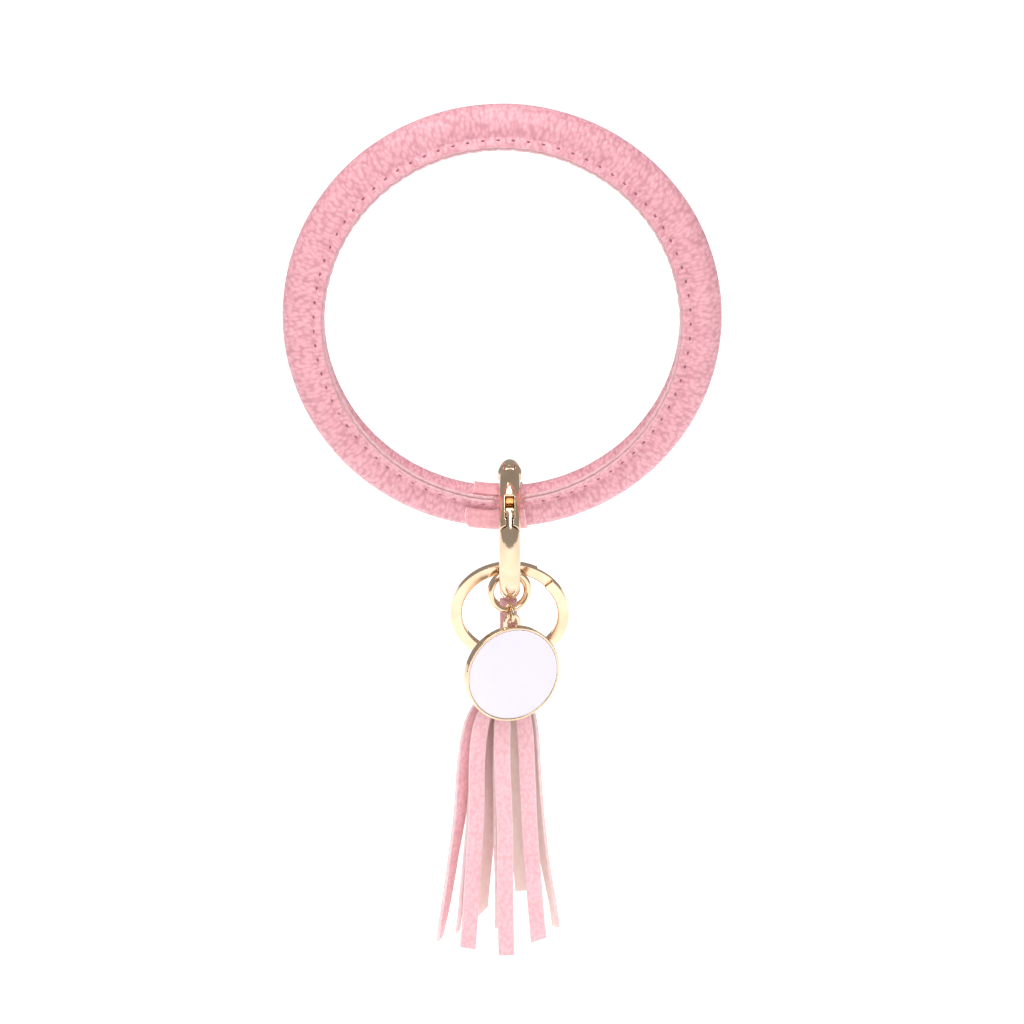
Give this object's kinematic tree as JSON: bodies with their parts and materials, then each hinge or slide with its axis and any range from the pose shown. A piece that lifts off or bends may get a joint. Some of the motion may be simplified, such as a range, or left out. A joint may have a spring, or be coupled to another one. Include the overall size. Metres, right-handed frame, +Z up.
{
  "type": "wristlet keychain",
  "caption": "Leather-wrapped bangle with a sprung gate ring that carries a split ring for keys, a round enamel disc and a leather fringe tassel.",
  "frame": {"origin": "centre of the bangle's opening, through which the wrist goes", "axes": "+Z up with the charms hanging down along -Z, +X to the right, +Y through the bangle's opening to the back"},
  "size_m": [0.092, 0.03, 0.1898],
  "materials": {
    "cover_leather": "pebbled pink leather, satin",
    "tassel_leather": "pebbled pink leather with a cream back",
    "seam_thread": "pink sewing thread",
    "core_plastic": "plain extruded tube",
    "gold_plate": "polished light gold plate",
    "spring_steel": "bright drawn wire",
    "disc_enamel": "glossy pale lavender soft enamel"
  },
  "bodies": {
    "bangle": {"core_tube": "core_plastic", "core_plug": "core_plastic", "leather_cover": "cover_leather", "seam_thread": "seam_thread", "joint_band": "cover_leather"},
    "gate_ring": {"ring_body": "gold_plate", "gate_pin": "gold_plate"},
    "gate": {"gate": "gold_plate", "gate_spring": "spring_steel"},
    "split_ring": {"split_ring": "gold_plate"},
    "disc_jump_ring": {"disc_jump_ring": "gold_plate"},
    "tassel_jump_ring": {"tassel_jump_ring": "gold_plate"},
    "disc_link": {"disc_link": "gold_plate"},
    "disc": {"disc_bezel": "gold_plate", "disc_enamel": "disc_enamel"},
    "tassel": {"strap_loop": "tassel_leather", "fringe": "tassel_leather", "collar": "tassel_leather"}
  },
  "joints": [
    {"name": "ring_swing", "type": "hinge", "parent": "bangle", "child": "gate_ring", "pos_m": [0.0016, 0, -0.0416], "axis": [1, 0, 0], "range_deg": [-60, 60]},
    {"name": "gate_hinge", "type": "hinge", "parent": "gate_ring", "child": "gate", "pos_m": [0.0016, -0.00111, -0.0341], "axis": [1, 0, 0], "range_deg": [0, 9], "stiffness_Nm_per_rad": 0.02, "springref_deg": -20.05},
    {"name": "split_ring_swing", "type": "hinge", "parent": "gate_ring", "child": "split_ring", "pos_m": [0.0016, 0.0015, -0.05946], "axis": [0, 1, 0], "range_deg": [-15, 15]},
    {"name": "disc_jump_swing", "type": "hinge", "parent": "gate_ring", "child": "disc_jump_ring", "pos_m": [0.0016, -0.0053, -0.0584], "axis": [0, 1, 0], "range_deg": [-20, 2]},
    {"name": "tassel_jump_swing", "type": "hinge", "parent": "gate_ring", "child": "tassel_jump_ring", "pos_m": [0.0013, -0.0007, -0.05953], "axis": [0, 1, 0], "range_deg": [-4, 10]},
    {"name": "disc_link_swing", "type": "hinge", "parent": "disc_jump_ring", "child": "disc_link", "pos_m": [0.0016, -0.0053, -0.0631], "axis": [0.9397, 0.342, 0], "range_deg": [-40, 0]},
    {"name": "disc_swing", "type": "hinge", "parent": "disc_link", "child": "disc", "pos_m": [0.00205, -0.00654, -0.06538], "axis": [-0.342, 0.9397, 0], "range_deg": [-12, 12]},
    {"name": "tassel_swing", "type": "hinge", "parent": "tassel_jump_ring", "child": "tassel", "pos_m": [0.0013, -0.0007, -0.06395], "axis": [1, 0, 0], "range_deg": [0, 4]}
  ]
}
